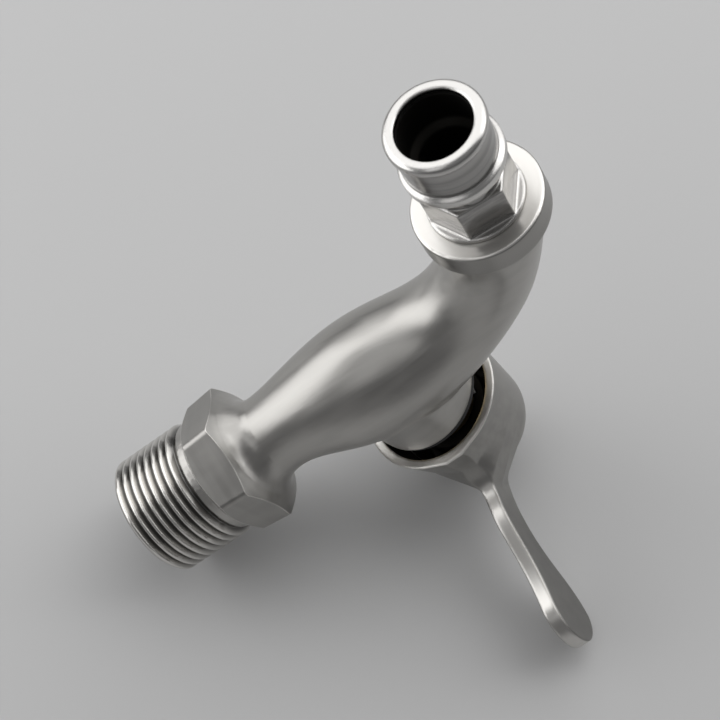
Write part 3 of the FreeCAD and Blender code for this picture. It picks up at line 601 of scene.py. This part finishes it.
class TAP_OT_nozzle(bpy.types.Operator):
    """Dress the hose nozzle in turned steel"""

    bl_idname = "tap.nozzle"
    bl_label = "Hose nozzle"

    def execute(self, context):
        dress(nozzle_steel(), "hose_nozzle")
        return {"FINISHED"}


class TAP_OT_handle(bpy.types.Operator):
    """Dress the handle and its cap in satin steel"""

    bl_idname = "tap.handle"
    bl_label = "Handle"

    def execute(self, context):
        dress(handle_steel(), "handle", "cap_plug")
        return {"FINISHED"}


class TAP_OT_inner_parts(bpy.types.Operator):
    """Dress the valve, the seals and the fixings"""

    bl_idname = "tap.inner_parts"
    bl_label = "Inner parts"

    def execute(self, context):
        brass = grained("Machined brass", colours().brass, BRASS_GLOSS, metallic=1.0)
        rubber = grained("Seal rubber", colours().rubber, RUBBER_GLOSS, grain=2500.0)
        plastic = grained("Moulded plastic", colours().plastic, PLASTIC_GLOSS)
        ceramic = grained("Lapped ceramic", colours().ceramic, CERAMIC_GLOSS)
        dress(brass, "headwork_housing", "spindle")
        dress(rubber, "nozzle_seal", "bonnet_gasket", "seat_seal", "spindle_oring_1", "spindle_oring_2")
        dress(plastic, "seat_sleeve", "friction_washer", "spline_insert")
        dress(ceramic, "fixed_disc", "turning_disc")
        dress(spring_steel(), "retaining_clip", "lock_washer", "handle_screw")
        return {"FINISHED"}


def camera_turn():
    """The camera's axes as a rotation."""
    return Matrix((CAMERA_RIGHT, CAMERA_UP, CAMERA_BACK)).transposed().to_4x4()


def add_camera(lens):
    """The camera at the photograph's viewing angle."""
    data = bpy.data.cameras.new("camera")
    data.sensor_width = SENSOR_WIDTH
    data.lens = lens
    data.clip_start = 0.01
    data.clip_end = 20
    made = bpy.data.objects.new("camera", data)
    made.matrix_world = Matrix.Translation(CAMERA_PLACE) @ camera_turn()
    bpy.context.scene.collection.objects.link(made)
    bpy.context.scene.camera = made


def add_lamp(name, direction, distance, size, level):
    """A soft lamp of an even brightness that faces the tap from a direction in the camera's axes."""
    away = camera_turn().to_3x3() @ Vector(direction).normalized()
    across = CAMERA_RIGHT - away * CAMERA_RIGHT.dot(away)
    if across.length < 0.5:
        across = CAMERA_BACK - away * CAMERA_BACK.dot(away)
    across.normalize()
    data = bpy.data.lights.new(name, "AREA")
    data.shape = "RECTANGLE"
    data.size, data.size_y = size
    data.energy = level * math.pi * size[0] * size[1]
    made = bpy.data.objects.new(name, data)
    axes = Matrix((across, away.cross(across), away)).transposed().to_4x4()
    middle = sum(CAD_BOX, Vector()) / 2
    made.matrix_world = Matrix.Translation(middle + away * distance) @ axes
    bpy.context.scene.collection.objects.link(made)


def floor_finish():
    """A matt floor that is clear from behind, so that it hides the tap from no side."""
    material, tree, shader = new_finish("Floor", metallic=0.0)
    shader.inputs["Base Color"].default_value = (*colours().floor, 1)
    shader.inputs["Roughness"].default_value = 0.9
    shader.inputs["Specular IOR Level"].default_value = 0.1
    clear = tree.nodes.new("ShaderNodeBsdfTransparent")
    side = tree.nodes.new("ShaderNodeNewGeometry")
    mix = tree.nodes.new("ShaderNodeMixShader")
    tree.links.new(side.outputs["Backfacing"], mix.inputs["Fac"])
    tree.links.new(shader.outputs["BSDF"], mix.inputs[1])
    tree.links.new(clear.outputs["BSDF"], mix.inputs[2])
    tree.links.new(mix.outputs["Shader"], tree.nodes["Material Output"].inputs["Surface"])
    return material


def add_floor():
    """A plain floor that the tap lies against, just under its lowest point."""
    facing = FLOOR_FACING.normalized()
    lowest = min(facing.dot(v.co) for node in frame["nodes"].values() for v in node.data.vertices)
    across = facing.orthogonal().normalized()
    along = facing.cross(across)
    corners = [facing * (lowest - FLOOR_GAP) + (across * sx + along * sy) * FLOOR_HALF_SIDE
               for sx, sy in ((-1, -1), (1, -1), (1, 1), (-1, 1))]
    mesh = bpy.data.meshes.new("floor")
    mesh.from_pydata(corners, [], [(0, 1, 2, 3)])
    mesh.update()
    mesh.materials.append(floor_finish())
    made = bpy.data.objects.new("floor", mesh)
    bpy.context.scene.collection.objects.link(made)
    made.visible_shadow = False


def add_world():
    """A plain grey room."""
    world = bpy.data.worlds.new("room")
    world.use_nodes = True
    world.node_tree.nodes["Background"].inputs["Color"].default_value = (*colours().backdrop, 1)
    world.node_tree.nodes["Background"].inputs["Strength"].default_value = 1.0
    bpy.context.scene.world = world


class TAP_OT_stage(bpy.types.Operator):
    """Set up the floor, the room, the lamps and the camera"""

    bl_idname = "tap.stage"
    bl_label = "Studio"

    def execute(self, context):
        studio = context.scene.tap_studio
        add_camera(studio.focal_length)
        add_floor()
        add_world()
        for name, direction, distance, size, setting in LAMPS:
            add_lamp(name, direction, distance, size, getattr(studio, setting))
        context.scene.view_settings.view_transform = "Standard"
        return {"FINISHED"}


class TAP_PT_sidebar(bpy.types.Panel):
    """Lists the tap's colours, edges and studio settings and its building steps"""

    bl_idname = "TAP_PT_sidebar"
    bl_label = "Washing machine tap"
    bl_space_type = "VIEW_3D"
    bl_region_type = "UI"
    bl_category = "Tap"

    def draw(self, context):
        scene = context.scene
        for group in (scene.tap_colours, scene.tap_edges, scene.tap_studio):
            for name in group.__annotations__:
                self.layout.prop(group, name)
        for operator in OPERATORS:
            self.layout.operator(operator.bl_idname)


OPERATORS = (TAP_OT_body, TAP_OT_nozzle, TAP_OT_handle, TAP_OT_inner_parts, TAP_OT_stage)
CLASSES = (TapColours, TapEdges, TapStudio, *OPERATORS, TAP_PT_sidebar)


def register():
    for made in CLASSES:
        bpy.utils.register_class(made)
    bpy.types.Scene.tap_colours = bpy.props.PointerProperty(type=TapColours)
    bpy.types.Scene.tap_edges = bpy.props.PointerProperty(type=TapEdges)
    bpy.types.Scene.tap_studio = bpy.props.PointerProperty(type=TapStudio)


def unregister():
    del bpy.types.Scene.tap_studio
    del bpy.types.Scene.tap_edges
    del bpy.types.Scene.tap_colours
    for made in reversed(CLASSES):
        bpy.utils.unregister_class(made)


def main():
    """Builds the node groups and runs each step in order."""
    register()
    for make_group in (brushed_group, turned_group, polish_group, hollow_group):
        make_group()
    bpy.ops.tap.body()
    bpy.ops.tap.nozzle()
    bpy.ops.tap.handle()
    bpy.ops.tap.inner_parts()
    bpy.ops.tap.stage()


if __name__ == "__main__":
    main()
